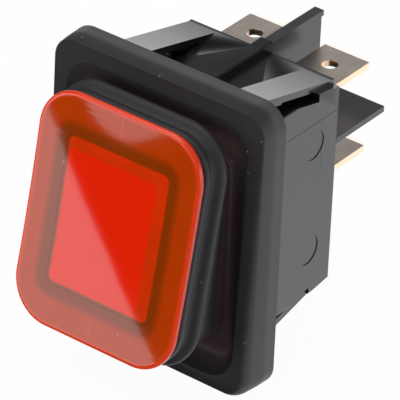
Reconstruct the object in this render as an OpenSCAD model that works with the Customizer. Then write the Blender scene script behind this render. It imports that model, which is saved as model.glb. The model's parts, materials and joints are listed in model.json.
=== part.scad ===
// Sealed, illuminated, double-pole panel rocker switch. Millimetres.
// The origin is the centre of the panel cut-out, in the plane of the panel's front face.
// X is across the switch, -Y is towards the user, +Y is behind the panel, +Z is up.
// The rocker is modelled pressed in at its upper end, with both poles open.

/* [Flange] */
// Width of the rubber flange, across the switch
flange_w = 29.7; // [28.5:0.1:32]
// Height of the rubber flange
flange_h = 37; // [36:0.1:40]
// Thickness of the flange in front of the panel
flange_t = 4.45; // [4:0.05:5.5]
// Corner radius of the flange, seen from the front
flange_r = 3.1; // [2.2:0.1:4]
// Radius on the flange's front edge
flange_edge_r = 0.8; // [0.4:0.1:1.2]
// Inward draft of the flange's sides over its thickness
flange_draft = 0.35; // [0:0.05:0.6]
// Width of the flat land round the flange's front face
land_w = 2.25; // [1.6:0.05:2.6]
// Width of the slope between the land and the moat
slope_w = 2; // [1.2:0.1:2.2]
// Corner radius of the moat at its rim
moat_r = 3.6; // [2.8:0.1:4.4]
// Height of the moat's floor in front of the panel
floor_t = 2.9; // [2.7:0.05:3.4]
// Width of the stiff bezel plate that the flange covers
bezel_w = 26.4; // [25:0.1:26.8]
// Height of the stiff bezel plate
bezel_h = 33.7; // [32:0.1:34]
// Thickness of the bezel plate
bezel_t = 2.1; // [1.9:0.05:2.2]

/* [Bellows] */
// Wall of the rubber bellows
boot_wall = 0.75; // [0.5:0.05:0.9]
// Radius of the outer, lower fold
fold_outer_r = 0.7; // [0.5:0.05:0.8]
// Radius of the inner fold, next to the cap
fold_inner_r = 0.65; // [0.45:0.05:0.7]
// How far the outer fold stands out past the inner one
fold_step = 0.55; // [0.3:0.05:0.7]
// Thickness of the lip that the cap clamps
lip_t = 0.4; // [0.3:0.05:0.5]

/* [Body] */
// Width of the body behind the panel
body_w = 21.7; // [21:0.1:22]
// Height of the body behind the panel, without the snap arms
body_h = 26.8; // [26.2:0.1:27.4]
// Depth of the body behind the panel
body_d = 15.5; // [15:0.1:17]
// Side wall of the body
wall_side = 1.3; // [1:0.05:1.4]
// Top and bottom wall of the body
wall_end = 1.8; // [1.5:0.05:2.2]
// Radius of the body's long edges
body_edge_r = 0.35; // [0.1:0.05:0.5]
// Distance of the parting seam below the body's top
seam_drop = 3.65; // [3.5:0.05:4.1]
// Width of the seam
seam_gap = 0.06; // [0.03:0.01:0.1]
// Diameter of the round recesses in the side walls
disc_d = 3.8; // [3:0.1:4.4]
// Depth of the round recesses
disc_depth = 0.25; // [0.1:0.05:0.4]
// Distance of the recesses behind the panel
disc_y = 11.15; // [9:0.05:12.5]
// Height of the recesses above and below the centre
disc_z = 7; // [4:0.1:7.4]

/* [Snap arms] */
// Width of each snap arm
arm_w = 3.9; // [3:0.1:4]
// Distance from the centre line to the inner side of an arm
arm_x = 6.2; // [5.5:0.1:6.3]
// Thickness of an arm
arm_t = 0.85; // [0.7:0.05:1]
// Slope of an arm out from the body, in degrees
arm_slope = 13.4; // [11:0.1:14]
// Distance of an arm's free end behind the panel
arm_tip_y = 2.6; // [1.5:0.1:4]
// Extra thickness of the hook at the free end
hook_t = 0.25; // [0.1:0.05:0.4]
// Length of the hook
hook_len = 2.9; // [2:0.1:4]
// Distance behind the panel where the slot under an arm ends
slot_y = 11.75; // [10.5:0.05:12.5]
// Depth of the slot under an arm at its end
slot_depth = 1.05; // [0.7:0.05:1.1]
// How far the body's rear corners step down beside the arms
ledge_drop = 0.8; // [0.3:0.05:0.9]

/* [Rails and barriers] */
// Width of the guide rail along the body
rail_w = 1.75; // [1.3:0.05:2.2]
// Height of the guide rail above the body
rail_h = 0.9; // [0.6:0.05:1.2]
// Length of the rail past the body's rear
rail_over = 0.8; // [0.4:0.05:1.2]
// Thickness of the barrier walls between the tabs
barrier_t = 0.75; // [0.6:0.05:1]
// Depth of the level barrier behind the panel
barrier_y = 24.8; // [22:0.1:26]
// Height of the level barrier's upper face
barrier_z = 5.9; // [5:0.1:6.5]
// Depth of the upright barrier behind the panel
upright_y = 26.4; // [24:0.1:28]
// Width of the bead on the upright barrier's edge
tee_w = 1.3; // [1.1:0.05:1.7]
// Thickness of the bead on the upright barrier's edge
tee_t = 0.7; // [0.5:0.05:0.9]
// Thickness of the plate that closes the rear of the body
rear_t = 1.6; // [1.2:0.1:2]

/* [Terminals] */
// Width of a tab
tab_w = 6.3; // [6.2:0.1:6.4]
// Thickness of a tab
tab_t = 0.8; // [0.8:0.1:0.9]
// Distance from the centre line to the middle of a tab
pole_x = 5.35; // [5.3:0.05:5.5]
// Distance of the tab tips behind the panel
tab_y = 25.55; // [24:0.1:27]
// Distance of the upper tabs' upper face below the body's top
tab_drop = 2.6; // [2.2:0.05:2.7]
// Height of the lower tabs' upper face
tab_low_z = -0.27; // [-0.6:0.01:0]
// Diameter of the hole in a tab
tab_hole_d = 1.9; // [1.6:0.1:2.2]
// Distance of the hole from the tab's tip
tab_hole_y = 4.17; // [3.5:0.01:5]
// Size of the corner cuts at a tab's tip
tab_corner = 0.85; // [0.5:0.05:1.1]
// Thickness that is left at the bevelled tip
tab_tip_t = 0.35; // [0.2:0.05:0.6]

/* [Rocker] */
// Tilt of the rocker to each side, in degrees
tilt = 11.8; // [10:0.1:12]
// Position of the pivot behind the panel's front face
pivot_y = -0.2; // [-0.4:0.05:0]
// Distance from the pivot to the cap's front face
cap_q = 12.4; // [12:0.05:13]
// Width of the cap
cap_w = 22.6; // [22:0.1:23]
// Height of the cap
cap_h = 28.25; // [27.5:0.05:29]
// Corner radius of the cap
cap_r = 5.2; // [4.6:0.1:5.6]
// Thickness of the cap at its rim
cap_t = 1.4; // [1.2:0.05:1.6]
// Radius on the cap's front edge
cap_edge_r = 0.55; // [0.3:0.05:0.7]
// Inward taper of the cap's side towards its back
cap_taper = 0.45; // [0.2:0.05:0.6]
// Hollow of the cap's face at its middle
cap_hollow = 0.35; // [0.1:0.05:0.5]
// Width of the lit window
window_w = 14; // [12:0.1:14.4]
// Height of the lit window
window_h = 17.2; // [15:0.1:17.6]
// Wall of the rib ring behind the cap
rib_t = 1.25; // [1:0.05:1.3]
// Depth of the rib ring behind the cap
rib_d = 2; // [1.4:0.1:2.2]
// Radius of the pivot pins
pin_r = 1.5; // [1.2:0.05:1.7]

/* [Contacts] */
// Tilt of the see-saw contacts to each side, in degrees
seesaw_tilt = 5; // [4:0.1:5.5]
// Distance of the see-saw's pivot in front of the body's rear
seesaw_back = 6.2; // [6:0.05:6.3]
// Width of the see-saw strip
seesaw_w = 4.2; // [3.6:0.1:4.2]
// Thickness of the see-saw strip
seesaw_t = 0.8; // [0.6:0.05:0.9]
// Half length of the see-saw
seesaw_l = 8.7; // [8.3:0.1:9]
// Height of the contact rivets above the see-saw's pivot
contact_z = 7; // [6.5:0.1:7.2]
// Diameter of a contact rivet's head
contact_d = 3.2; // [2.6:0.1:3.4]
// Height of a contact rivet's head
contact_t = 0.6; // [0.45:0.05:0.7]
// Radius of the moving contact's dome
dome_r = 5; // [4:0.5:8]
// Radius of the spring plungers
plunger_r = 1.3; // [1.1:0.05:1.35]
// Travel of a plunger into its leg
plunger_travel = 0.8; // [0.4:0.1:1]
// Radius of the lamp's glass
lamp_r = 2; // [1.6:0.05:2.05]
// Length of the lamp's glass
lamp_l = 10; // [8:0.1:10.2]

/* [Hidden] */

$fn = 48;
eps = 0.01;
fit = 0.05;                 // clearance of pieces that seat in one another
run = 0.05;                 // radial clearance of running fits
ball_run = 0.09;            // clearance of a plunger's ball in the see-saw's valley
bezel_r = flange_r - 0.85;

// Cap and rocker, in the rocker's own frame, where q is the distance in front of the pivot.
corner_x = cap_w / 2 - cap_r;
corner_z = cap_h / 2 - cap_r;
cap_back_q = cap_q - cap_t;
lip_q = cap_back_q - fit - lip_t;
carrier_q = lip_q - fit;
carrier_step_q = carrier_q - 1.7;
carrier_floor_q = 5;
carrier_floor_t = 1.2;
fold_inner_q = lip_q + lip_t - fold_inner_r;
fold_outer_q = fold_inner_q - 2;
bellows_q = fold_outer_q - fold_outer_r - 0.35;
bellows_out = cap_r - cap_taper - 0.1;      // outer radius of the wall behind the folds
neck_in = 0.35;                             // how far the neck's foot is drawn in at each side
neck_root = 0.4;                            // depth of the neck's foot below the moat's floor
fold_inner_x = cap_r - 0.2 - fold_inner_r;
fold_outer_x = fold_inner_x + fold_inner_r + fold_step - fold_outer_r;
rib_w = window_w + 2 * fit + 2 * rib_t + 0.1;
rib_h = window_h + 2 * fit + 2 * rib_t + 0.1;
carrier_w = rib_w + 2 * fit + 1.8;
carrier_h = cap_h - 4.1;
skirt_h = carrier_h - 2.2;
cheek_t = (carrier_w - rib_w) / 2 - fit;
cheek_half = 3.1;

// Cavity of the body.
cavity_w = body_w - 2 * wall_side;
cavity_h = body_h - 2 * wall_end;
rear_y = body_d - rear_t;
seam_z = body_h / 2 - seam_drop;
tab_top_z = body_h / 2 - tab_drop;
seesaw_y = body_d - seesaw_back;
web_t = 1;                  // wall between the two poles
web_y = seesaw_y - 0.7;
root_w = 8;                 // width of the level barrier where it leaves the closing plate
root_d = 1;
stop_half = 1;              // half width of the see-saw's stop
rail_low = body_h / 2 - 0.3;

// Legs and plungers. s is the distance behind the pivot, and the tip runs in the see-saw's valley.
leg_r = plunger_r + run + 0.95;
bore_q = 4.5;
valley_d = 1;               // from the valley's bottom to the see-saw's pivot
plunger_s = seesaw_y - pivot_y - valley_d;
plunger_tail_s = 2.2;
leg_s = plunger_s - plunger_travel - 2.7;   // past its travel, a plunger's ball stays clear of the leg
ball_s = plunger_s - plunger_r;
// Where the ball's centre lies at full tilt, seen from the see-saw, gives the valley's arc.
ball_end_y = (ball_s * cos(tilt) - (seesaw_y - pivot_y)) * cos(seesaw_tilt)
           - ball_s * sin(tilt) * sin(seesaw_tilt);
ball_end_z = -(ball_s * cos(tilt) - (seesaw_y - pivot_y)) * sin(seesaw_tilt)
           - ball_s * sin(tilt) * cos(seesaw_tilt);
ball_rise = ball_s - (seesaw_y - pivot_y) - ball_end_y;
path_r = (pow(ball_end_z, 2) + pow(ball_rise, 2)) / (2 * ball_rise);
valley_r = path_r + plunger_r + ball_run;
valley_y = ball_s - (seesaw_y - pivot_y) - path_r;
crest_z = 2.5;
crest_y = valley_y + sqrt(pow(valley_r, 2) - pow(crest_z, 2));
arm_front_y = -seesaw_t / 2;
lug_r = 0.5;
lug_over = 0.75;

// The fixed contact's face meets the moving one's when the poles close.
contact_gap = 0.03;
dome_y = seesaw_t / 2 + contact_t - dome_r;  // dome's centre, seen from the see-saw
fixed_face_y = seesaw_y + dome_y * cos(seesaw_tilt) + contact_z * sin(seesaw_tilt) + dome_r + contact_gap;
fixed_z = contact_z * cos(seesaw_tilt) - dome_y * sin(seesaw_tilt);
leg_front_y = fixed_face_y + contact_t;
ear_t = 0.8;
ear_r = 1.3;
ear_in = seesaw_w / 2 + 0.15;
cradle_y = seesaw_y + 2.5;
cradle_half = 2.2;
leg_half = 2.5;
rivet_r = 0.8;
stop_z = 8;
stop_t = 0.8;
stop_y = seesaw_y + seesaw_t / 2 * cos(seesaw_tilt) + (stop_z + stop_t / 2) * sin(seesaw_tilt) + run;

// Lamp, held in a cup on the pole wall.
lamp_y = 2.4;
cup_r = lamp_r + fit + 0.45;
lamp_slot_w = 2 * cup_r + 0.4;
lamp_slot_h = 11;
lead_r = 0.25;
lead_x = 0.9;
resistor_r = 1.15;
resistor_cap = 1.4;
resistor_z = cup_r + 1.1;
resistor_l = tab_top_z - tab_t / 2 - 0.5 - resistor_z;
resistor_y = web_y - resistor_r - fit;

// Frames. front() turns a drawing so that its height runs towards the user.
module front() { rotate([90, 0, 0]) children(); }

// rocker_frame() is front() about the pivot, turned by the rocker's resting tilt.
module rocker_frame() { translate([0, pivot_y, 0]) rotate([-tilt, 0, 0]) front() children(); }

// seesaw_frame() holds profiles drawn as (behind, up), at the see-saw's resting tilt.
module seesaw_frame() { translate([0, seesaw_y, 0]) rotate([seesaw_tilt, 0, 0]) children(); }

// across() extrudes a profile drawn as (behind, up) along X, centred on x.
module across(x, w) { translate([x - w / 2, 0, 0]) rotate([90, 0, 90]) linear_extrude(w) children(); }

// A rounded rectangle with true arcs.
module rounded(w, h, r) {
    square([w - 2 * r, h], center = true);
    square([w, h - 2 * r], center = true);
    for (x = [-1, 1], y = [-1, 1]) translate([x * (w / 2 - r), y * (h / 2 - r)]) circle(r);
}

// Sweeps a profile round a rounded rectangle whose corner centres are at (cx, cy).
// The profile's x is the distance out from the corner centres.
module sweep_round(cx, cy) {
    for (i = [0:3]) {
        sx = (i == 0 || i == 3) ? 1 : -1;
        sy = i < 2 ? 1 : -1;
        translate([sx * cx, sy * cy, 0]) rotate([0, 0, 90 * i]) rotate_extrude(angle = 90) children();
    }
    for (i = [0:3]) {
        out = i % 2 == 0 ? cx : cy;
        along = i % 2 == 0 ? cy : cx;
        rotate([0, 0, 90 * i]) translate([out, along, 0]) rotate([90, 0, 0])
            linear_extrude(2 * along) children();
    }
}

// A solid pad: the same sweep of a profile that starts at x = 0, with its middle filled.
module pad_round(cx, cy, z0, z1) {
    sweep_round(cx, cy) children();
    translate([-cx, -cy, z0]) cube([2 * cx, 2 * cy, z1 - z0]);
}

// A round bar between two points.
module bar(a, b, r) {
    d = b - a;
    translate(a) rotate([0, acos(d[2] / norm(d)), atan2(d[1], d[0])]) cylinder(r = r, h = norm(d), $fn = 16);
}

// ---- Rubber boot: flange, moat and two-fold bellows in one moulding ----
module flange_profile() {
    x = flange_r - flange_draft;
    polygon([[0, 0], [flange_r, 0], [x, flange_t - flange_edge_r],
             [x - flange_edge_r, flange_t], [0, flange_t]]);
    translate([x - flange_edge_r, flange_t - flange_edge_r]) circle(flange_edge_r);
}

module flange() {
    front() pad_round(flange_w / 2 - flange_r, flange_h / 2 - flange_r, 0, flange_t) flange_profile();
}

module moat() {
    cx = flange_w / 2 - land_w - moat_r;
    cy = flange_h / 2 - land_w - moat_r;
    front() pad_round(cx, cy, floor_t, flange_t + 1)
        polygon([[0, floor_t], [moat_r - slope_w, floor_t], [moat_r, flange_t], [moat_r, flange_t + 1],
                 [0, flange_t + 1]]);
}

// The neck leans from the moat's floor to the folds. grow is its offset from the folds' wall.
module neck_outline(grow, inset) {
    rounded(2 * (corner_x + bellows_out + grow - inset), 2 * (corner_z + bellows_out + grow),
            bellows_out + grow, $fn = 32);
}

module neck(grow, below) {
    hull() {
        front() translate([0, 0, floor_t - below]) linear_extrude(0.1) neck_outline(grow, neck_in);
        rocker_frame() translate([0, 0, bellows_q]) linear_extrude(0.3) neck_outline(grow, 0);
    }
}

module fold_profile() {
    translate([bellows_out - boot_wall, bellows_q + 0.1])
        square([boot_wall, lip_q + lip_t / 2 - bellows_q - 0.1]);
    translate([fold_outer_x, fold_outer_q]) circle(fold_outer_r, $fn = 32);
    translate([fold_inner_x, fold_inner_q]) circle(fold_inner_r, $fn = 32);
    translate([rib_w / 2 + 0.25 - corner_x, lip_q])
        square([fold_inner_x - rib_w / 2 - 0.25 + corner_x, lip_t]);
}

module rubber_boot() {
    color([0.09, 0.09, 0.1]) {
        difference() {
            union() {
                difference() {
                    flange();
                    moat();
                }
                neck(0.08, neck_root);
            }
            neck(-boot_wall - 0.06, neck_root + 0.05);
            front() translate([0, 0, -eps]) linear_extrude(bezel_t + eps)
                rounded(bezel_w, bezel_h, bezel_r);
            front() translate([0, 0, bezel_t - eps]) linear_extrude(floor_t - neck_root - bezel_t)
                neck_outline(-boot_wall - 0.12, neck_in);
        }
        rocker_frame() sweep_round(corner_x, corner_z) fold_profile();
    }
}

// ---- Housing ----
module body_tube() {
    translate([0, body_d, 0]) front() linear_extrude(body_d + bezel_t) difference() {
        rounded(body_w, body_h, body_edge_r);
        square([cavity_w, cavity_h], center = true);
    }
}

// The snap arm and its wedge, for the upper right corner, drawn as (behind, up).
arm_root_y = body_d - 0.2;
function arm_top(y) = body_h / 2 - 0.1 + (arm_root_y - y) * tan(arm_slope);

module arm_profile() {
    step_y = arm_tip_y + hook_len;
    polygon([[arm_root_y, arm_top(arm_root_y)], [arm_tip_y, arm_top(arm_tip_y)],
             [arm_tip_y, arm_top(arm_tip_y) - arm_t - hook_t], [step_y, arm_top(step_y) - arm_t - hook_t],
             [step_y + 0.2, arm_top(step_y + 0.2) - arm_t], [slot_y, arm_top(slot_y) - arm_t],
             [slot_y, body_h / 2 - 0.4], [arm_root_y, body_h / 2 - 0.4]]);
}

// The slot under an arm runs parallel to it and out through the side wall.
module slot_profile() {
    run_y = slot_y - slot_depth / tan(arm_slope);
    polygon([[run_y, body_h / 2], [slot_y, body_h / 2 - slot_depth], [slot_y, body_h / 2 + 1],
             [run_y, body_h / 2 + 1]]);
}

module upper_arms() { for (s = [-1, 1]) across(s * (arm_x + arm_w / 2), arm_w) arm_profile(); }

module upper_slots() {
    slot_w = body_w / 2 - arm_x + 1;
    for (s = [-1, 1]) across(s * (arm_x - 0.2 + slot_w / 2), slot_w) slot_profile();
}

module upper_rail() {
    c = 0.15;
    translate([0, body_d + rail_over, 0]) front() linear_extrude(body_d + rail_over)
        polygon([[-rail_w / 2, rail_low], [rail_w / 2, rail_low],
                 [rail_w / 2, body_h / 2 + rail_h - c], [rail_w / 2 - c, body_h / 2 + rail_h],
                 [c - rail_w / 2, body_h / 2 + rail_h], [-rail_w / 2, body_h / 2 + rail_h - c]]);
}

// The rear corners of the body step down beside the arms.
module upper_ledges() {
    ledge_w = body_w / 2 - arm_x - arm_w;
    for (s = [-1, 1]) across(s * (body_w / 2 - ledge_w / 2 + 0.5), ledge_w + 1)
        polygon([[slot_y - 0.5, body_h / 2 - 0.08], [body_d + 1, body_h / 2 - ledge_drop],
                 [body_d + 1, body_h / 2 + 1], [slot_y - 0.5, body_h / 2 + 1]]);
}

// The tube, its slots, arms and rail, all as at the top; mirrored for the bottom.
module body_end() {
    difference() {
        body_tube();
        upper_slots();
        upper_ledges();
    }
    upper_arms();
    upper_rail();
}

module above_seam(z) { translate([-body_w, 0, z]) cube([2 * body_w, 2 * body_d, body_h]); }

module housing() {
    color([0.14, 0.14, 0.15]) difference() {
        union() {
            front() linear_extrude(bezel_t) difference() {
                rounded(bezel_w - 2 * fit, bezel_h - 2 * fit, bezel_r);
                square([cavity_w, cavity_h], center = true);
            }
            difference() {
                mirror([0, 0, 1]) body_end();
                above_seam(seam_z);
            }
        }
        for (s = [-1, 1], z = [-1, 1]) translate([s * (body_w / 2 - disc_depth), disc_y, z * disc_z])
            rotate([0, 90 * s, 0]) cylinder(d = disc_d, h = disc_depth + 1);
        for (s = [-1, 1]) translate([s * (cavity_w / 2 - eps), pivot_y, 0])
            rotate([0, 90 * s, 0]) cylinder(r = pin_r + run, h = wall_side - 0.2);
    }
}

module top_cover() {
    color([0.15, 0.15, 0.16]) intersection() {
        body_end();
        above_seam(seam_z + seam_gap);
    }
}

// ---- Rear moulding: closing plate, barriers, pole wall and lamp cup ----
module tab_slot(x, z) {
    translate([x - tab_w / 2 - fit, rear_y - 1, z - tab_t - fit])
        cube([tab_w + 2 * fit, rear_t + 2, tab_t + 2 * fit]);
}

module rear_barrier() {
    tee_z = body_h / 2 + rail_h - 0.35;
    tee_y = body_d + rail_over + fit;
    color([0.13, 0.13, 0.14]) difference() {
        union() {
            translate([-cavity_w / 2 + fit, rear_y, -cavity_h / 2 + fit])
                cube([cavity_w - 2 * fit, rear_t, cavity_h - 2 * fit]);
            translate([-body_w / 2, body_d + fit, barrier_z - barrier_t])
                cube([body_w, barrier_y - body_d - fit, barrier_t]);
            translate([-root_w / 2, rear_y, barrier_z - barrier_t])
                cube([root_w, rear_t + root_d, barrier_t]);
            translate([-barrier_t / 2, body_d + fit, -barrier_z])
                cube([barrier_t, upright_y - body_d - fit, barrier_z + rail_low - fit]);
            translate([-barrier_t / 2, rear_y, -barrier_z]) cube([barrier_t, rear_t + root_d, 2 * barrier_z]);
            translate([-tee_w / 2, tee_y, tee_z - tee_t]) cube([tee_w, upright_y - tee_y, tee_t]);
            translate([-barrier_t / 2, tee_y, rail_low - 1])
                cube([barrier_t, upright_y - tee_y, tee_z - tee_t / 2 - rail_low + 1]);
            translate([-web_t / 2, web_y, -cavity_h / 2 + fit])
                cube([web_t, rear_y - web_y + 0.5, cavity_h - 2 * fit]);
            translate([0, web_y, 0]) front() cylinder(r = cup_r, h = web_y + 1);
            for (s = [-1, 1]) translate([s * pole_x - stop_half, stop_y, -stop_z - stop_t / 2])
                cube([2 * stop_half, rear_y + 0.5 - stop_y, stop_t]);
        }
        for (s = [-1, 1], z = [tab_top_z, tab_low_z]) tab_slot(s * pole_x, z);
        translate([0, lamp_y, 0]) front() cylinder(r = lamp_r + fit, h = lamp_l);
        for (s = [-1, 1]) translate([s * (cup_r + web_t / 2), web_y + eps, 0])
            front() linear_extrude(web_y - lamp_y + 2) square([2 * cup_r, 3 * cup_r], center = true);
    }
}

// ---- Terminals and contacts ----
module tab_plan(y0) {
    polygon([[-tab_w / 2, y0], [tab_w / 2, y0],
             [tab_w / 2, tab_y - tab_corner], [tab_w / 2 - tab_corner, tab_y],
             [tab_corner - tab_w / 2, tab_y], [-tab_w / 2, tab_y - tab_corner]]);
}

// A flat tab whose upper face is at z, with a hole, cut corners and a bevelled tip.
module tab(z, y0) {
    bevel = (tab_t - tab_tip_t) / 2;
    intersection() {
        difference() {
            translate([0, 0, z - tab_t]) linear_extrude(tab_t) tab_plan(y0);
            translate([0, tab_y - tab_hole_y, z - tab_t - 1]) cylinder(d = tab_hole_d, h = tab_t + 2);
        }
        across(0, 2 * tab_w)
            polygon([[y0, z], [y0, z - tab_t], [tab_y - tab_corner, z - tab_t],
                     [tab_y, z - tab_t + bevel], [tab_y, z - bevel], [tab_y - tab_corner, z]]);
    }
}

module terminal_upper(side) {
    low_z = fixed_z - contact_d / 2 - 0.2;
    color([0.74, 0.7, 0.62]) translate([side * pole_x, 0, 0]) difference() {
        union() {
            tab(tab_top_z, leg_front_y + tab_t);
            translate([-leg_half, leg_front_y, low_z]) cube([2 * leg_half, tab_t, tab_top_z - low_z]);
        }
        translate([0, leg_front_y + tab_t + 1, fixed_z]) front() cylinder(r = rivet_r, h = tab_t + 2);
    }
}

module fixed_contact(side) {
    color([0.86, 0.86, 0.84]) translate([side * pole_x, leg_front_y + tab_t, fixed_z]) front() {
        cylinder(r = rivet_r, h = tab_t);
        translate([0, 0, tab_t]) cylinder(d = contact_d, h = contact_t);
    }
}

module terminal_lower(side) {
    half = ear_in + ear_t;
    color([0.74, 0.7, 0.62]) translate([side * pole_x, 0, 0]) difference() {
        union() {
            tab(tab_low_z, cradle_y + tab_t);
            translate([-half, cradle_y, -cradle_half]) cube([2 * half, tab_t, 2 * cradle_half]);
            for (s = [-1, 1]) across(s * (ear_in + ear_t / 2), ear_t) {
                translate([seesaw_y, -ear_r]) square([cradle_y - seesaw_y + tab_t / 2, 2 * ear_r]);
                translate([seesaw_y, 0]) circle(ear_r);
            }
        }
        translate([-half - 1, seesaw_y, 0]) rotate([0, 90, 0]) cylinder(r = lug_r + run, h = 2 * half + 2);
    }
}

module seesaw_profile() {
    arm_out = crest_z + 2.3;
    difference() {
        polygon([[crest_y, crest_z], [crest_y, crest_z + 0.4],
                 [arm_front_y, arm_out], [arm_front_y, seesaw_l],
                 [-arm_front_y, seesaw_l], [-arm_front_y, arm_out - 0.4],
                 [crest_y + seesaw_t + 0.1, crest_z], [seesaw_t - valley_d, 1],
                 [seesaw_t - valley_d, -1], [crest_y + seesaw_t + 0.1, -crest_z],
                 [-arm_front_y, 0.4 - arm_out], [-arm_front_y, -seesaw_l],
                 [arm_front_y, -seesaw_l], [arm_front_y, -arm_out],
                 [crest_y, -crest_z - 0.4], [crest_y, -crest_z]]);
        translate([valley_y, 0]) circle(valley_r, $fn = 96);
    }
}

module seesaw(side) {
    color([0.78, 0.55, 0.3]) seesaw_frame() difference() {
        union() {
            across(side * pole_x, seesaw_w) seesaw_profile();
            translate([side * pole_x - seesaw_w / 2 - lug_over, 0, 0])
                rotate([0, 90, 0]) cylinder(r = lug_r, h = seesaw_w + 2 * lug_over);
        }
        translate([side * pole_x, 1, contact_z]) front() cylinder(r = rivet_r, h = 2);
    }
}

module moving_contact(side) {
    color([0.86, 0.86, 0.84]) seesaw_frame() translate([side * pole_x, 0, contact_z]) {
        intersection() {
            translate([0, seesaw_t / 2 + contact_t, 0]) front() cylinder(d = contact_d, h = contact_t);
            translate([0, dome_y, 0]) sphere(dome_r, $fn = 120);
        }
        translate([0, seesaw_t / 2, 0]) front() cylinder(r = rivet_r, h = seesaw_t);
    }
}

// ---- Lamp ----
module neon_lamp() {
    color([0.85, 0.8, 0.75]) translate([0, lamp_y, 0]) front() {
        cylinder(r = lamp_r, h = lamp_l - lamp_r);
        translate([0, 0, lamp_l - lamp_r]) sphere(lamp_r);
    }
}

module lamp_resistor() {
    color([0.75, 0.65, 0.45]) translate([0, resistor_y, resistor_z]) {
        cylinder(r = resistor_r, h = resistor_cap);
        translate([0, 0, resistor_cap]) cylinder(r = resistor_r - 0.15, h = resistor_l - 2 * resistor_cap);
        translate([0, 0, resistor_l - resistor_cap]) cylinder(r = resistor_r, h = resistor_cap);
    }
}

// Each lead is a list of corners, joined by bars with round elbows.
module lead(points) {
    for (i = [0:len(points) - 2]) bar(points[i], points[i + 1], lead_r);
    for (i = [1:len(points) - 2]) translate(points[i]) sphere(lead_r, $fn = 16);
}

module lamp_leads() {
    back_y = lamp_y + 0.02;
    top_z = resistor_z + resistor_l + 0.02;
    color([0.7, 0.7, 0.7]) {
        lead([[lead_x, back_y, 0], [lead_x, resistor_y, 0], [lead_x, resistor_y, resistor_z - 0.7],
              [0, resistor_y, resistor_z - 0.7], [0, resistor_y, resistor_z - 0.02]]);
        lead([[-lead_x, back_y, 0], [-lead_x, cradle_y + tab_t / 2, 0],
              [0.02 + ear_in + ear_t - pole_x, cradle_y + tab_t / 2, 0]]);
        lead([[0, resistor_y, top_z], [0, resistor_y, tab_top_z - tab_t / 2],
              [pole_x - 1.8, resistor_y, tab_top_z - tab_t / 2],
              [pole_x - 1.8, leg_front_y - 0.02, tab_top_z - tab_t / 2]]);
    }
}

// ---- Rocker ----
module cap_profile() {
    back = cap_back_q;
    polygon([[0, back], [cap_r - cap_taper, back], [cap_r, cap_q - cap_edge_r], [cap_r - cap_edge_r, cap_q],
             [0, cap_q]]);
    translate([cap_r - cap_edge_r, cap_q - cap_edge_r]) circle(cap_edge_r);
}

// The face is hollowed lengthways by a shallow arc. The profile is drawn as (up, depth).
module hollow_profile() {
    half = cap_h / 2 - cap_edge_r;
    n = 32;
    polygon(concat([for (i = [-n:n]) [half * i / n, cap_q - cap_hollow * (1 - pow(i / n, 2))]],
                   [[half, cap_q + 1], [-half, cap_q + 1]]));
}

module lens_cap() {
    color([0.85, 0.08, 0.03, 0.8]) rocker_frame() {
        difference() {
            pad_round(corner_x, corner_z, cap_back_q, cap_q) cap_profile();
            across(0, 2 * cap_w) hollow_profile();
            translate([0, 0, cap_back_q - 1]) linear_extrude(1.4)
                rounded(window_w + 2 * fit, window_h + 2 * fit, 0.6);
        }
        translate([0, 0, cap_back_q - rib_d]) linear_extrude(rib_d) difference() {
            rounded(rib_w, rib_h, 1.6);
            rounded(window_w + 2 * fit, window_h + 2 * fit, 0.6);
        }
    }
}

module light_diffuser() {
    color([0.95, 0.35, 0.25]) rocker_frame() translate([0, 0, cap_back_q - 0.7])
        linear_extrude(0.7 + 0.4 - fit) rounded(window_w, window_h, 0.5);
}

module rocker_carrier() {
    color([0.12, 0.12, 0.13]) rocker_frame() difference() {
        union() {
            translate([0, 0, carrier_step_q]) linear_extrude(carrier_q - carrier_step_q)
                rounded(carrier_w, carrier_h, 2.2);
            translate([0, 0, carrier_floor_q]) linear_extrude(carrier_step_q - carrier_floor_q)
                rounded(carrier_w, skirt_h, 1.6);
            for (s = [-1, 1]) {
                across(s * (carrier_w - cheek_t) / 2, cheek_t) {
                    translate([-cheek_half, 0]) square([2 * cheek_half, carrier_floor_q + 1]);
                    circle(cheek_half);
                }
                translate([s * (carrier_w / 2 - cheek_t), 0, 0]) rotate([0, 90 * s, 0])
                    cylinder(r = pin_r, h = body_w / 2 - 0.35 - carrier_w / 2 + cheek_t);
                translate([s * pole_x, 0, -leg_s]) cylinder(r = leg_r, h = leg_s + carrier_floor_q + 0.5);
            }
        }
        translate([0, 0, carrier_floor_q + carrier_floor_t])
            linear_extrude(carrier_q - carrier_floor_q) rounded(rib_w + 2 * fit, rib_h + 2 * fit, 1.6);
        translate([0, 0, carrier_floor_q - 1]) linear_extrude(carrier_floor_t + 2)
            rounded(lamp_slot_w, lamp_slot_h, 1);
        for (s = [-1, 1]) translate([s * pole_x, 0, -leg_s - 1])
            cylinder(r = plunger_r + run, h = leg_s + 1 + bore_q);
    }
}

module plunger(side) {
    color([0.8, 0.66, 0.35]) rocker_frame() translate([side * pole_x, 0, -ball_s]) {
        cylinder(r = plunger_r, h = ball_s - plunger_tail_s);
        sphere(plunger_r);
    }
}

// A closed coil spring: a ring of sides swept along a helix.
spring_coil_r = 0.9;
spring_wire_r = 0.2;
spring_turns = 6;
spring_steps = 14;
spring_sides = 6;
spring_len = plunger_tail_s + bore_q - 2 * spring_wire_r - 0.1;

function coil_ring(k) = let (a = 360 * k / spring_steps, h = spring_len * k / (spring_turns * spring_steps))
    [for (j = [0:spring_sides - 1]) let (b = 360 * j / spring_sides)
        let (r = spring_coil_r + spring_wire_r * cos(b))
            [r * cos(a), r * sin(a), h + spring_wire_r * sin(b)]];

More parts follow.
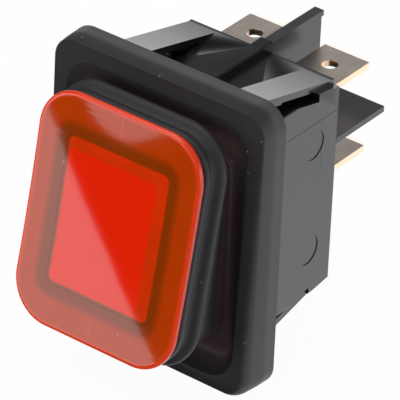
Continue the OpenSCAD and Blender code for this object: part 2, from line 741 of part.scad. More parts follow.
module coil() {
    n = spring_turns * spring_steps;
    m = spring_sides;
    points = [for (k = [0:n], p = coil_ring(k)) p];
    sides = [for (k = [0:n - 1], j = [0:m - 1])
        [k * m + j, (k + 1) * m + j, (k + 1) * m + (j + 1) % m, k * m + (j + 1) % m]];
    ends = [[for (j = [0:m - 1]) j], [for (j = [m - 1:-1:0]) n * m + j]];
    polyhedron(points, concat(sides, ends), convexity = 8);
}

module plunger_spring(side) {
    color([0.75, 0.75, 0.78]) rocker_frame()
        translate([side * pole_x, 0, -plunger_tail_s + spring_wire_r + 0.05]) coil();
}

rubber_boot();
housing();
top_cover();
rear_barrier();
terminal_upper(-1);  // terminal_upper_left
terminal_upper(1);  // terminal_upper_right
terminal_lower(-1);  // terminal_lower_left
terminal_lower(1);  // terminal_lower_right
fixed_contact(-1);  // fixed_contact_left
fixed_contact(1);  // fixed_contact_right
neon_lamp();
lamp_resistor();
lamp_leads();
rocker_carrier();
lens_cap();
light_diffuser();
plunger_spring(-1);  // plunger_spring_left
plunger_spring(1);  // plunger_spring_right
plunger(-1);  // plunger_left
plunger(1);  // plunger_right
seesaw(-1);  // seesaw_left
seesaw(1);  // seesaw_right
moving_contact(-1);  // moving_contact_left
moving_contact(1);  // moving_contact_right
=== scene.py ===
import json
import math

import bmesh
import bpy
from bpy.props import FloatProperty, FloatVectorProperty, IntProperty, PointerProperty
from bpy.types import Operator, Panel, PropertyGroup
from mathutils import Matrix, Vector
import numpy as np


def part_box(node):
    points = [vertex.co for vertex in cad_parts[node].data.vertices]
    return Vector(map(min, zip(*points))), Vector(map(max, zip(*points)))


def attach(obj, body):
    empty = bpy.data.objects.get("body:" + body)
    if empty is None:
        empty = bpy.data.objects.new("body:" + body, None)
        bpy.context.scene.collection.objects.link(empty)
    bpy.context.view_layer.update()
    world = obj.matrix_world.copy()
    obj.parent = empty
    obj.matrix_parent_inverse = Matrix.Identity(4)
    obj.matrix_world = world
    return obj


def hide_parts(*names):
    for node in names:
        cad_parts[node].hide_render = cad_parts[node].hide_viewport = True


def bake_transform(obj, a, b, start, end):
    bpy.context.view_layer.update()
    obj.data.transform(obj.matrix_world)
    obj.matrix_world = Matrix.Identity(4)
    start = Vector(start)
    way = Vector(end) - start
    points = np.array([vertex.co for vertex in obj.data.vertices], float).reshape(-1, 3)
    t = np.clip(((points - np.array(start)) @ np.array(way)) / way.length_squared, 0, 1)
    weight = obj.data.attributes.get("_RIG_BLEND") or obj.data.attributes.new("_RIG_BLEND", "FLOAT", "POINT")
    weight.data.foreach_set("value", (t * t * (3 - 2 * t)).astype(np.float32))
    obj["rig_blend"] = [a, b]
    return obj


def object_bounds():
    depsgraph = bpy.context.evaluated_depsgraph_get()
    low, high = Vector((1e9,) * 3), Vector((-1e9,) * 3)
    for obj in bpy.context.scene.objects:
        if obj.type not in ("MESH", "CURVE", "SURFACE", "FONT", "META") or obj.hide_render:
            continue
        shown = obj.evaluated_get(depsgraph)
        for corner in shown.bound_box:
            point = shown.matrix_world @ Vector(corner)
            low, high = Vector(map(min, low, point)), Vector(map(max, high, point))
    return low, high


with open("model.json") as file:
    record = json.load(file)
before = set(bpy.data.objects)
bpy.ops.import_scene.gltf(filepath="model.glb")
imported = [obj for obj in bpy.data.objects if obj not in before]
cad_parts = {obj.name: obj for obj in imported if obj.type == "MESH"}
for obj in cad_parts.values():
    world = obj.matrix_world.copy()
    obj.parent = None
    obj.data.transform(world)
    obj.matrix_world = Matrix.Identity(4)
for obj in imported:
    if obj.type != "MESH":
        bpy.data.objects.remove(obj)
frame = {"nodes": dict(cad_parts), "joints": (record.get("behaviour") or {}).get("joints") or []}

bl_info = {
    "name": "Sealed rocker switch",
    "version": (1, 0, 0),
    "blender": (4, 5, 0),
    "location": "View3D > Sidebar > Switch",
    "description": "Dresses a splash-proof illuminated panel rocker switch",
    "category": "Object",
}

MM = 0.001
CAD_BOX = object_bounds()
ROCKER_JOINT = next(j for j in frame["joints"] if j["name"] == "rocker_pivot")
PIVOT = Vector(ROCKER_JOINT["pos_m"])
REST_TILT = -math.radians(ROCKER_JOINT["range_deg"][1]) / 2
CAP_MIN, CAP_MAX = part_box("lens_cap")
CAP_HALF_X = (CAP_MAX[0] - CAP_MIN[0]) / 2
CAP_HALF_Z = 14.125 * MM
CAP_STRIPS = 18                 # bands across half of the cap's face, which carry its hollow
SIDE_WALL = 10.85 * MM
MARK_LIFT = 0.16 * MM           # how far the gate marks' floors come out
EDGE_ANGLE = 30                 # degrees, past which an edge of a moulding or blade is rounded
CAP_RIM = 0.38                  # mm, radius of the rim round the cap's face
CAP_SKIRT = 0.9                 # mm behind the face where the cap stops following the hollow
HARD_SHELLS = {"housing": "housing_shell", "top_cover": "cover_shell", "rear_barrier": "barrier_shell"}
BLADES = ("terminal_upper_left", "terminal_upper_right", "terminal_lower_left", "terminal_lower_right")


# ---------------------------------------------------------------- settings
class SwitchSizes(PropertyGroup):
    flange_depth: FloatProperty(
        name="Flange depth", description="Depth of the rubber flange in front of the panel",
        default=4.45 * MM, unit="LENGTH")
    flange_radius: FloatProperty(
        name="Flange corner", description="Corner radius of the flange", default=3.1 * MM, unit="LENGTH")
    flange_round: FloatProperty(
        name="Flange rounding", description="Radius on the flange's front edge",
        default=0.85 * MM, unit="LENGTH")
    moat_depth: FloatProperty(
        name="Moat floor", description="Height of the moat's floor in front of the panel",
        default=2.9 * MM, unit="LENGTH")
    cap_corner: FloatProperty(
        name="Cap corner", description="Corner radius of the cap", default=5.2 * MM, unit="LENGTH")
    cap_front: FloatProperty(
        name="Cap front", description="Distance from the pivot to the cap's face",
        default=12.4 * MM, unit="LENGTH")
    cap_hollow: FloatProperty(
        name="Cap hollow", description="Hollow of the cap's face at its middle",
        default=0.35 * MM, unit="LENGTH")
    window_width: FloatProperty(
        name="Window width", description="Width of the lit window", default=14.0 * MM, unit="LENGTH")
    window_height: FloatProperty(
        name="Window height", description="Height of the lit window", default=17.2 * MM, unit="LENGTH")
    grid_pitch: FloatProperty(
        name="Grid pitch", description="Pitch of the window's fine grid", default=0.36 * MM, unit="LENGTH")
    edge_width: FloatProperty(
        name="Moulded edge", description="Radius on the edges of the hard mouldings",
        default=0.07 * MM, unit="LENGTH")
    blade_edge: FloatProperty(
        name="Blade edge", description="Radius on the edges of the blades", default=0.04 * MM, unit="LENGTH")
    corner_points: IntProperty(
        name="Corner points", description="Steps round each rounded corner", default=12, min=6, max=24)


class SwitchColours(PropertyGroup):
    rubber: FloatVectorProperty(
        name="Rubber", description="Colour of the boot", subtype="COLOR", default=(0.027, 0.0255, 0.0285))
    nylon: FloatVectorProperty(
        name="Nylon", description="Colour of the body", subtype="COLOR", default=(0.0075, 0.0075, 0.0085))
    tin: FloatVectorProperty(
        name="Tin plate", description="Colour of the plated faces", subtype="COLOR",
        default=(0.66, 0.58, 0.50))
    brass: FloatVectorProperty(
        name="Cut brass", description="Colour of the sheared edges", subtype="COLOR",
        default=(0.92, 0.66, 0.46))
    lens: FloatVectorProperty(
        name="Lens", description="Colour of the cap's border", subtype="COLOR",
        default=(0.455, 0.040, 0.0006))
    ring: FloatVectorProperty(
        name="Ring", description="Colour of the band round the window", subtype="COLOR",
        default=(0.235, 0.032, 0.0006))
    window: FloatVectorProperty(
        name="Window", description="Colour of the lit window", subtype="COLOR", default=(0.92, 0.006, 0.0005))
    # Painted light: the bright red that the cap's side takes where it faces up.
    rim: FloatVectorProperty(
        name="Rim", description="Colour of the cap's side", subtype="COLOR", default=(0.97, 0.010, 0.001))


def sizes():
    return bpy.context.scene.switch_sizes


def colours():
    return bpy.context.scene.switch_colours


# ---------------------------------------------------------------- materials
def shader(name):
    """A new material with its Principled shader and output."""
    mat = bpy.data.materials.new(name)
    mat.use_nodes = True
    mat.node_tree.nodes.clear()
    out = mat.node_tree.nodes.new("ShaderNodeOutputMaterial")
    bsdf = mat.node_tree.nodes.new("ShaderNodeBsdfPrincipled")
    mat.node_tree.links.new(bsdf.outputs[0], out.inputs[0])
    return mat, mat.node_tree, bsdf


def add(tree, kind, **values):
    """A node, with plain attributes set by name and inputs set by number, as i0=, i1=."""
    node = tree.nodes.new(kind)
    for key, value in values.items():
        if key[0] == "i" and key[1:].isdigit():
            target = node.inputs[int(key[1:])]
            if hasattr(value, "links"):
                tree.links.new(value, target)
            else:
                target.default_value = value
        else:
            setattr(node, key, value)
    return node


def math_node(tree, operation, a, b=0.0, clamp=False, c=0.0):
    return add(tree, "ShaderNodeMath", operation=operation, use_clamp=clamp, i0=a, i1=b, i2=c).outputs[0]


def ramp(tree, value, low, high, start=0.0, end=1.0, curve="LINEAR"):
    """start below low, end above high and a ramp between them."""
    return add(tree, "ShaderNodeMapRange", clamp=True, interpolation_type=curve,
               i0=value, i1=low, i2=high, i3=start, i4=end).outputs[0]


def noise(tree, vector, scale, detail):
    node = add(tree, "ShaderNodeTexNoise", i0=vector, i2=scale, i3=detail)
    return node.outputs[0], node.outputs[1]


def axes_of(tree, vector):
    return add(tree, "ShaderNodeSeparateXYZ", i0=vector).outputs


def mix_colour(tree, factor, a, b):
    node = tree.nodes.new("ShaderNodeMix")
    node.data_type = "RGBA"
    for socket, value in ((node.inputs[0], factor), (node.inputs[6], a), (node.inputs[7], b)):
        if hasattr(value, "links"):
            tree.links.new(value, socket)
        elif isinstance(value, (int, float)):
            socket.default_value = value
        else:
            socket.default_value = (*tuple(value)[:3], 1.0)
    return node.outputs[2]


def group(name, inputs, outputs):
    """An empty shader node group. inputs and outputs are (name, kind, default) rows."""
    tree = bpy.data.node_groups.new(name, "ShaderNodeTree")
    for label, kind, default in inputs:
        socket = tree.interface.new_socket(name=label, in_out="INPUT", socket_type=kind)
        if default is not None:
            socket.default_value = default
    for label, kind in outputs:
        tree.interface.new_socket(name=label, in_out="OUTPUT", socket_type=kind)
    return tree, tree.nodes.new("NodeGroupInput"), tree.nodes.new("NodeGroupOutput")


def place(tree, group_tree, **values):
    """Places a group in a tree and sets its inputs by name, with _ for a space."""
    node = tree.nodes.new("ShaderNodeGroup")
    node.node_tree = group_tree
    for key, value in values.items():
        socket = node.inputs[key.replace("_", " ")]
        if hasattr(value, "links"):
            tree.links.new(value, socket)
        elif isinstance(value, (int, float)):
            socket.default_value = value
        else:
            socket.default_value = tuple(value) + ((1.0,) if len(tuple(value)) == 3 and
                                                   socket.type == "RGBA" else ())
    return node


def finish_group():
    """Moulded or rolled finish: slow colour drift, roughness patches and fine grain."""
    tree, inp, out = group(
        "Surface finish",
        [("Vector", "NodeSocketVector", None), ("Colour", "NodeSocketColor", (0.5, 0.5, 0.5, 1)),
         ("Drift", "NodeSocketFloat", 0.15), ("Patch Size", "NodeSocketFloat", 400.0),
         ("Roughness", "NodeSocketFloat", 0.4), ("Roughness Drift", "NodeSocketFloat", 0.08),
         ("Grain Size", "NodeSocketFloat", 6000.0)],
        [("Colour", "NodeSocketColor"), ("Roughness", "NodeSocketFloat"), ("Height", "NodeSocketFloat")])
    patch = noise(tree, inp.outputs["Vector"], inp.outputs["Patch Size"], 3.0)[0]
    centred = math_node(tree, "SUBTRACT", patch, 0.5)
    gain = math_node(tree, "ADD", math_node(tree, "MULTIPLY", centred, inp.outputs["Drift"]), 1.0)
    scaled = add(tree, "ShaderNodeVectorMath", operation="SCALE", i0=inp.outputs["Colour"])
    tree.links.new(gain, scaled.inputs["Scale"])
    rough = math_node(tree, "ADD", math_node(tree, "MULTIPLY", centred, inp.outputs["Roughness Drift"]),
                      inp.outputs["Roughness"], clamp=True)
    grain = noise(tree, inp.outputs["Vector"], inp.outputs["Grain Size"], 2.0)[0]
    tree.links.new(scaled.outputs[0], out.inputs["Colour"])
    tree.links.new(rough, out.inputs["Roughness"])
    tree.links.new(grain, out.inputs["Height"])
    return tree


def speck_group():
    """Small bright specks of dust and lint, thinned out at random cell by cell."""
    tree, inp, out = group(
        "Dust specks",
        [("Vector", "NodeSocketVector", None), ("Scale", "NodeSocketFloat", 900.0),
         ("Radius", "NodeSocketFloat", 0.08), ("Share", "NodeSocketFloat", 0.5)],
        [("Mask", "NodeSocketFloat")])
    warp = noise(tree, inp.outputs["Vector"], 2500.0, 2.0)[1]
    bent = add(tree, "ShaderNodeVectorMath", operation="MULTIPLY_ADD", i0=warp,
               i1=(0.0004, 0.0004, 0.0004), i2=inp.outputs["Vector"])
    cells = add(tree, "ShaderNodeTexVoronoi", i0=bent.outputs[0])
    tree.links.new(inp.outputs["Scale"], cells.inputs["Scale"])
    near = math_node(tree, "LESS_THAN", cells.outputs["Distance"], inp.outputs["Radius"])
    pick = add(tree, "ShaderNodeSeparateColor", i0=cells.outputs["Color"])
    chosen = math_node(tree, "LESS_THAN", pick.outputs[0], inp.outputs["Share"])
    tree.links.new(math_node(tree, "MULTIPLY", near, chosen), out.inputs["Mask"])
    return tree


def field_group():
    """Signed distance to a rounded rectangle in the X and Z of a vector."""
    tree, inp, out = group(
        "Rounded field",
        [("Vector", "NodeSocketVector", None), ("Half Width", "NodeSocketFloat", 0.005),
         ("Half Height", "NodeSocketFloat", 0.005), ("Radius", "NodeSocketFloat", 0.001)],
        [("Distance", "NodeSocketFloat")])
    parts = axes_of(tree, inp.outputs["Vector"])
    overs = []
    for axis, half in ((0, "Half Width"), (2, "Half Height")):
        size = math_node(tree, "ABSOLUTE", parts[axis])
        over = math_node(tree, "SUBTRACT", size, inp.outputs[half])
        overs.append(math_node(tree, "ADD", over, inp.outputs["Radius"]))
    squares = [math_node(tree, "POWER", math_node(tree, "MAXIMUM", o, 0.0), 2.0) for o in overs]
    outside = math_node(tree, "SQRT", math_node(tree, "ADD", *squares))
    inside = math_node(tree, "MINIMUM", math_node(tree, "MAXIMUM", *overs), 0.0)
    total = math_node(tree, "SUBTRACT", math_node(tree, "ADD", outside, inside), inp.outputs["Radius"])
    tree.links.new(total, out.inputs["Distance"])
    return tree


GROUPS = {}


def shared(name):
    makers = {"finish": finish_group, "specks": speck_group, "field": field_group}
    if name not in GROUPS:
        GROUPS[name] = makers[name]()
    return GROUPS[name]


def object_coords(tree):
    return add(tree, "ShaderNodeTexCoord").outputs["Object"]


def normal_up(tree):
    """The Z part of the surface's own normal."""
    return axes_of(tree, add(tree, "ShaderNodeTexCoord").outputs["Normal"])[2]


def bump(tree, bsdf, height, strength, distance):
    node = add(tree, "ShaderNodeBump")
    node.inputs["Strength"].default_value = strength
    node.inputs["Distance"].default_value = distance
    tree.links.new(height, node.inputs["Height"])
    tree.links.new(node.outputs[0], bsdf.inputs["Normal"])


def finished(name, colour, roughness, drift=0.2, patch=300.0, grain=9000.0, depth=0.000004,
             metallic=0.0, strength=0.3, rough_drift=0.1):
    """A material with the shared finish. Returns it with its tree, shader and finish node."""
    mat, tree, bsdf = shader(name)
    look = place(tree, shared("finish"), Vector=object_coords(tree), Colour=colour, Drift=drift,
                 Patch_Size=patch, Roughness=roughness, Roughness_Drift=rough_drift, Grain_Size=grain)
    tree.links.new(look.outputs["Colour"], bsdf.inputs["Base Color"])
    tree.links.new(look.outputs["Roughness"], bsdf.inputs["Roughness"])
    bsdf.inputs["Metallic"].default_value = metallic
    bump(tree, bsdf, look.outputs["Height"], strength, depth)
    return mat, tree, bsdf, look


def rubber_material():
    """Matt rubber with dust and lint on it, and a painted red glow in the moat, standing in for light the cap
    throws onto it.
    """
    mat, tree, bsdf, look = finished("boot_rubber", colours().rubber, 0.56, drift=0.3, patch=180.0,
                                     grain=5000.0, depth=0.000012, strength=0.5)
    coords = object_coords(tree)
    dust = place(tree, shared("specks"), Vector=coords, Scale=700.0, Radius=0.10, Share=0.16).outputs[0]
    lint = place(tree, shared("specks"), Vector=coords, Scale=330.0, Radius=0.055, Share=0.35).outputs[0]
    both = math_node(tree, "MAXIMUM", math_node(tree, "MULTIPLY", dust, 0.25),
                     math_node(tree, "MULTIPLY", lint, 0.8))
    # Painted light: the moat's slope near the cap is tinted red for the cap's light falling on it.
    moat = place(tree, shared("field"), Vector=coords, Half_Width=12.5 * MM, Half_Height=16.15 * MM,
                 Radius=3.6 * MM).outputs[0]
    painted_glow_inward = ramp(tree, moat, -1.9 * MM, -0.1 * MM, 1.0, 0.0, "SMOOTHSTEP")
    behind = ramp(tree, axes_of(tree, coords)[1], -5.0 * MM, -4.4 * MM)
    base = mix_colour(tree, math_node(tree, "MULTIPLY", painted_glow_inward, behind), look.outputs["Colour"],
                      (0.062, 0.034, 0.036))
    tree.links.new(mix_colour(tree, both, base, (0.35, 0.34, 0.34)), bsdf.inputs["Base Color"])
    bsdf.inputs["Specular IOR Level"].default_value = 0.42
    return mat


def nylon_material(name, roughness, tint=1.0):
    colour = [c * tint for c in colours().nylon]
    mat, tree, bsdf, look = finished(name, colour, roughness, drift=0.35, patch=250.0, grain=7000.0,
                                     depth=0.000005, strength=0.35)
    scuff = place(tree, shared("specks"), Vector=object_coords(tree), Scale=420.0, Radius=0.05, Share=0.25)
    tree.links.new(mix_colour(tree, math_node(tree, "MULTIPLY", scuff.outputs[0], 0.35),
                              look.outputs["Colour"], (0.2, 0.2, 0.2)), bsdf.inputs["Base Color"])
    bsdf.inputs["Specular IOR Level"].default_value = 0.62
    return mat


def blade_material():
    """Tin plate on the rolled faces and bare brass on the sheared edges."""
    mat, tree, bsdf, look = finished("tinned_blade", colours().tin, 0.33, drift=0.25, patch=350.0,
                                     grain=2500.0, depth=0.000004, metallic=1.0)
    flat = math_node(tree, "GREATER_THAN", math_node(tree, "ABSOLUTE", normal_up(tree)), 0.75)
    along = add(tree, "ShaderNodeMapping", i0=object_coords(tree), i3=(9.0, 1.0, 9.0)).outputs[0]
    streak = noise(tree, along, 500.0, 4.0)[0]
    stain = math_node(tree, "MULTIPLY", math_node(tree, "SUBTRACT", streak, 0.45), 1.4, clamp=True)
    plate = mix_colour(tree, stain, look.outputs["Colour"], (0.50, 0.38, 0.27))
    tree.links.new(mix_colour(tree, flat, colours().brass, plate), bsdf.inputs["Base Color"])
    return mat


def band(tree, value, low, high, soft):
    """1 between low and high, fading to 0 over soft on both sides."""
    rise = ramp(tree, value, low - soft, low + soft)
    fall = ramp(tree, value, high - soft, high + soft, 1.0, 0.0)
    return math_node(tree, "MULTIPLY", rise, fall)


def woven_grid(tree, x, z):
    """Fine lines both ways at the grid's pitch, 1 on a line."""
    lines = []
    for axis in (x, z):
        turn = math_node(tree, "MULTIPLY", axis, 2 * math.pi / sizes().grid_pitch)
        wave = math_node(tree, "ADD", math_node(tree, "MULTIPLY", math_node(tree, "COSINE", turn), 0.5), 0.5)
        lines.append(math_node(tree, "POWER", wave, 3.0))
    return math_node(tree, "MAXIMUM", *lines)


def zone_distance(tree, local, half_w, half_h, radius, shift=(0.0, 0.0)):
    """Distance to a rounded rectangle on the cap's face, moved by shift."""
    moved = add(tree, "ShaderNodeVectorMath", operation="SUBTRACT", i0=local,
                i1=(shift[0], 0.0, shift[1])).outputs[0]
    return place(tree, shared("field"), Vector=moved, Half_Width=half_w, Half_Height=half_h,
                 Radius=radius).outputs[0]


def face_colour(tree, local, x, z):
    """The cap's face: border, darker ring and the gridded window in its frame."""
    s, c = sizes(), colours()
    half_w, half_h = s.window_width / 2, s.window_height / 2
    opening = zone_distance(tree, local, half_w - 0.1 * MM, half_h + 0.2 * MM, 0.8 * MM,
                            (0.2 * MM, 0.25 * MM))
    lit_zone = zone_distance(tree, local, half_w - 1.0 * MM, half_h - 0.6 * MM, 0.5 * MM,
                             (-0.45 * MM, -0.4 * MM))
    ring_zone = zone_distance(tree, local, 8.5 * MM, 10.5 * MM, 2.2 * MM, (-0.05 * MM, 0.1 * MM))

    def inside(value, soft):
        return ramp(tree, value, -soft, soft, 1.0, 0.0)

    patch = noise(tree, local, 230.0, 4.0)[0]
    mottle = math_node(tree, "MULTIPLY", math_node(tree, "SUBTRACT", patch, 0.38), 1.6, clamp=True)
    border = mix_colour(tree, math_node(tree, "MULTIPLY", mottle, 0.5), c.lens, (0.34, 0.03, 0.001))
    colour = mix_colour(tree, inside(ring_zone, 0.45 * MM), border, c.ring)

    # The opening's dark outline shows only on its left and lower sides.
    outline = band(tree, opening, 0.28 * MM, 0.44 * MM, 0.06 * MM)
    low_left = math_node(tree, "MAXIMUM", ramp(tree, x, -6.6 * MM, -6.0 * MM, 1.0, 0.0),
                         ramp(tree, z, -8.4 * MM, -7.8 * MM, 1.0, 0.0))
    outline = math_node(tree, "MULTIPLY", math_node(tree, "MULTIPLY", outline, low_left), 0.55)
    colour = mix_colour(tree, outline, colour, (0.10, 0.02, 0.002))

    window_frame = mix_colour(tree, mottle, (0.66, 0.03, 0.0008), (0.36, 0.03, 0.0008))
    colour = mix_colour(tree, inside(opening, 0.08 * MM), colour, window_frame)
    lines = math_node(tree, "MULTIPLY", woven_grid(tree, x, z), 0.8)
    lit = mix_colour(tree, lines, c.window, (0.56, 0.03, 0.001))
    lit = mix_colour(tree, math_node(tree, "MULTIPLY", mottle, 0.15), lit, (0.62, 0.03, 0.001))
    return mix_colour(tree, inside(lit_zone, 0.12 * MM), colour, lit)


def face_marks(tree, local, x, z, colour):
    """The mould's witness line above and below the window, and lint on the face."""
    seam = math_node(tree, "MULTIPLY", band(tree, x, -0.09 * MM, 0.05 * MM, 0.04 * MM),
                     band(tree, math_node(tree, "ABSOLUTE", z), 10.9 * MM, 13.0 * MM, 0.2 * MM))
    colour = mix_colour(tree, math_node(tree, "MULTIPLY", seam, 0.45), colour, (0.95, 0.06, 0.02))
    lint = place(tree, shared("specks"), Vector=local, Scale=260.0, Radius=0.035, Share=0.4).outputs[0]
    return mix_colour(tree, math_node(tree, "MULTIPLY", lint, 0.5), colour, (0.8, 0.3, 0.2))


def painted_rim_light(tree, local, y, colour):
    """Paints a pink highlight along the edge of the face, and paints light and shade on the cap's side:
    bright red where it faces up, dark red where it faces sideways or down.
    """
    s = sizes()
    depth = math_node(tree, "MULTIPLY", y, -1.0)
    side = ramp(tree, depth, s.cap_front - 0.85 * MM, s.cap_front - 0.6 * MM, 1.0, 0.0)
    rim = zone_distance(tree, local, CAP_HALF_X, CAP_HALF_Z, s.cap_corner)
    # Painted highlight: a pink band along the edge of the face stands in for a reflection.
    painted_highlight_band = ramp(tree, rim, -0.8 * MM, -0.25 * MM)
    # Painted light and shade: the side turns bright red where it faces up and dark red where it faces
    # sideways or down.
    painted_side_light = mix_colour(tree, ramp(tree, normal_up(tree), 0.1, 0.6), (0.30, 0.008, 0.002), colours().rim)
    colour = mix_colour(tree, math_node(tree, "MULTIPLY", painted_highlight_band, 0.85), colour, (0.82, 0.05, 0.015))
    return mix_colour(tree, side, colour, painted_side_light)


def lens_material():
    """The cap's glossy plastic, drawn in the rocker's own frame."""
    mat, tree, bsdf = shader("red_lens")
    local = add(tree, "ShaderNodeMapping", vector_type="TEXTURE", i0=object_coords(tree),
                i1=tuple(PIVOT), i2=(REST_TILT, 0.0, 0.0)).outputs[0]
    x, y, z = axes_of(tree, local)
    colour = face_colour(tree, local, x, z)
    colour = face_marks(tree, local, x, z, colour)
    tree.links.new(painted_rim_light(tree, local, y, colour), bsdf.inputs["Base Color"])
    smear = noise(tree, local, 500.0, 3.0)[0]
    tree.links.new(math_node(tree, "MULTIPLY_ADD", smear, 0.02, c=0.015), bsdf.inputs["Roughness"])
    bsdf.inputs["Specular IOR Level"].default_value = 0.55
    bump(tree, bsdf, noise(tree, local, 110.0, 1.0)[0], 0.1, 0.00004)
    return mat


# ---------------------------------------------------------------- mesh helpers
def mesh_object(name, bm, body=None, material=None, smooth=40.0):
    mesh = bpy.data.meshes.new(name)
    bmesh.ops.recalc_face_normals(bm, faces=bm.faces[:])
    bm.to_mesh(mesh)
    bm.free()
    obj = bpy.data.objects.new(name, mesh)
    bpy.context.scene.collection.objects.link(obj)
    if material:
        mesh.materials.append(material)
    for face in mesh.polygons:
        face.use_smooth = True
    if smooth:
        mesh.set_sharp_from_angle(angle=math.radians(smooth))
    if body:
        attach(obj, body)
    return obj


class RoundedLoft:
    """Grows a skin from loop to loop, each a rounded rectangle across the switch at some depth."""

    def __init__(self, half_x, half_z, radius, depth, steps):
        self.bm = bmesh.new()
        self.steps = steps
        self.now = (half_x, half_z, radius, depth)
        made = bmesh.ops.create_circle(self.bm, radius=radius, segments=4 * steps, cap_ends=False,
                                       matrix=Matrix.Rotation(math.radians(90), 4, "X"))
        turn = math.radians(180.0 / (4 * steps))
        bmesh.ops.rotate(self.bm, verts=made["verts"], cent=(0, 0, 0), matrix=Matrix.Rotation(turn, 3, "Y"))
        ring = sorted(made["verts"], key=lambda v: math.atan2(v.co.z, v.co.x) % (2 * math.pi))
        self.corners = [ring[i * steps:(i + 1) * steps] for i in range(4)]
        for (sx, sz), corner in zip(((1, 1), (-1, 1), (-1, -1), (1, -1)), self.corners):
            move = (sx * (half_x - radius), -depth, sz * (half_z - radius))
            bmesh.ops.translate(self.bm, verts=corner, vec=move)
        self.first = [c[:] for c in self.corners]

    def to(self, half_x, half_z, radius, depth):
        edges = self.loop_edges()
        made = bmesh.ops.extrude_edge_only(self.bm, edges=edges)["geom"]
        fresh = {v for v in made if isinstance(v, bmesh.types.BMVert)}
        corners = []
        for corner in self.corners:
            corners.append([next(e.other_vert(v) for e in v.link_edges if e.other_vert(v) in fresh)
                            for v in corner])
        self.corners = corners
        self.shape(half_x, half_z, radius, depth)

    def shape(self, half_x, half_z, radius, depth):
        old_x, old_z, old_r, old_depth = self.now
        for (sx, sz), corner in zip(((1, 1), (-1, 1), (-1, -1), (1, -1)), self.corners):
            centre = Vector((sx * (old_x - old_r), -old_depth, sz * (old_z - old_r)))
            bmesh.ops.scale(self.bm, verts=corner, vec=(radius / old_r, 1, radius / old_r),
                            space=Matrix.Translation(-centre))
            goal = Vector((sx * (half_x - radius), -depth, sz * (half_z - radius)))
            bmesh.ops.translate(self.bm, verts=corner, vec=goal - centre)
        self.now = (half_x, half_z, radius, depth)

    def loop_edges(self):
        ring = [v for corner in self.corners for v in corner]
        return [self.bm.edges.get((a, b)) for a, b in zip(ring, ring[1:] + ring[:1])]

    def close(self):
        """Joins the last loop to the first one."""
        last = self.loop_edges()
        self.corners, keep = self.first, self.corners
        bmesh.ops.bridge_loops(self.bm, edges=last + self.loop_edges())
        self.corners = keep


def arc(cx, cy, r, start, end, n):
    """Points on an arc, as (out, depth) pairs, from start to end in degrees."""
    angles = [math.radians(start + (end - start) * i / n) for i in range(n + 1)]
    return [(cx + r * math.cos(a), cy + r * math.sin(a)) for a in angles]


# ---------------------------------------------------------------- pieces
OUTLINE_HALF = {"flange": (14.85, 18.5), "moat": (9.0, 12.65), "bellows": (6.1, 8.925)}   # mm
BOOT_SEAT = 2.12                # mm in front of the panel, where the boot's inside closes
WALL_INSET = 1.6                # mm, the boot's wall from the flange's outer face inwards


def boot_profile():
    """The boot's section as (outline, reach, depth) rows, in mm, with the rocker level.

    reach is the distance out from the outline's corner centres, and so its corner radius."""
    s = sizes()
    corner, top, r, moat = s.flange_radius / MM, s.flange_depth / MM, s.flange_round / MM, s.moat_depth / MM
    rows = [("flange", corner, 0.0), ("flange", corner - 0.08, top - r - 1.6)]
    rows += [("flange", corner - 0.22 - r + x, top - r + y) for x, y in arc(0, 0, r, 5, 88, 8)]
    rows += [("moat", 3.62 + x, top - 0.55 + y) for x, y in arc(0.3, 0, 0.55, 92, 135, 4)]
    rows += [("moat", 2.3, moat + 0.35), ("moat", 1.9, moat + 0.12), ("moat", 1.45, moat + 0.03)]
    neck = [(4.02, moat), (3.86, 3.1), (3.9, 3.9), (4.05, 4.9), (4.3, 5.6), (4.55, 6.1), (4.62, 6.45),
            (4.5, 6.85), (4.42, 7.2)]
    outer_fold = [(4.75, 7.45), (5.2, 7.75), (5.52, 8.05), (5.68, 8.32), (5.72, 8.58), (5.6, 8.82),
                  (5.3, 9.02), (4.92, 9.2), (4.62, 9.42)]
    inner_fold = [(4.5, 9.66), (4.6, 9.9), (4.82, 10.1), (4.98, 10.36), (5.02, 10.62), (4.96, 10.86),
                  (4.8, 11.04), (4.55, 11.13)]
    lining = [(2.9, 11.14), (2.9, 10.76), (4.0, 10.74), (3.9, 10.4), (3.75, 9.7), (4.2, 9.2),
              (4.7, 8.6), (4.3, 8.1), (3.72, 7.3), (3.6, 6.4), (3.3, 4.9), (3.1, 2.5)]
    rows += [("bellows", reach, depth) for reach, depth in neck + outer_fold + inner_fold + lining]
    return rows + [("flange", corner - WALL_INSET, BOOT_SEAT), ("flange", corner - WALL_INSET, 0.0)]


class SWITCH_OT_boot(Operator):
    """Makes the rubber boot: flange, moat and folds, which bend with the rocker"""
    bl_idname = "switch.boot"
    bl_label = "Rubber boot"

    def execute(self, context):
        inset = {"flange": sizes().flange_radius / MM}
        rows = []
        for outline, reach, depth in boot_profile():
            x, z = (half - inset.get(outline, 0.0) for half in OUTLINE_HALF[outline])
            rows.append([(x + reach) * MM, (z + reach) * MM, reach * MM, depth * MM])
        loft = RoundedLoft(*rows[0], sizes().corner_points)
        for row in rows[1:]:
            loft.to(*row)
        loft.close()
        boot = mesh_object("bellows_boot", loft.bm, material=rubber_material(),
                           smooth=None)
        bend_from, bend_to = Vector((0, -3.0 * MM, 0)), Vector((0, -7.35 * MM, 0))
        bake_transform(boot, "body", "rocker", start=bend_from, end=bend_to)
        self.lean(boot)
        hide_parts("rubber_boot")
        return {"FINISHED"}

    @staticmethod
    def lean(boot):
        """Bends the level boot to the rocker's resting tilt, each point by its own share."""
        share = boot.data.attributes["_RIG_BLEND"].data
        turn = Matrix.Translation(PIVOT) @ Matrix.Rotation(REST_TILT, 4, "X") @ Matrix.Translation(-PIVOT)
        for vertex, part in zip(boot.data.vertices, share):
            vertex.co = vertex.co.lerp(turn @ vertex.co, part.value)
        boot.data.update()


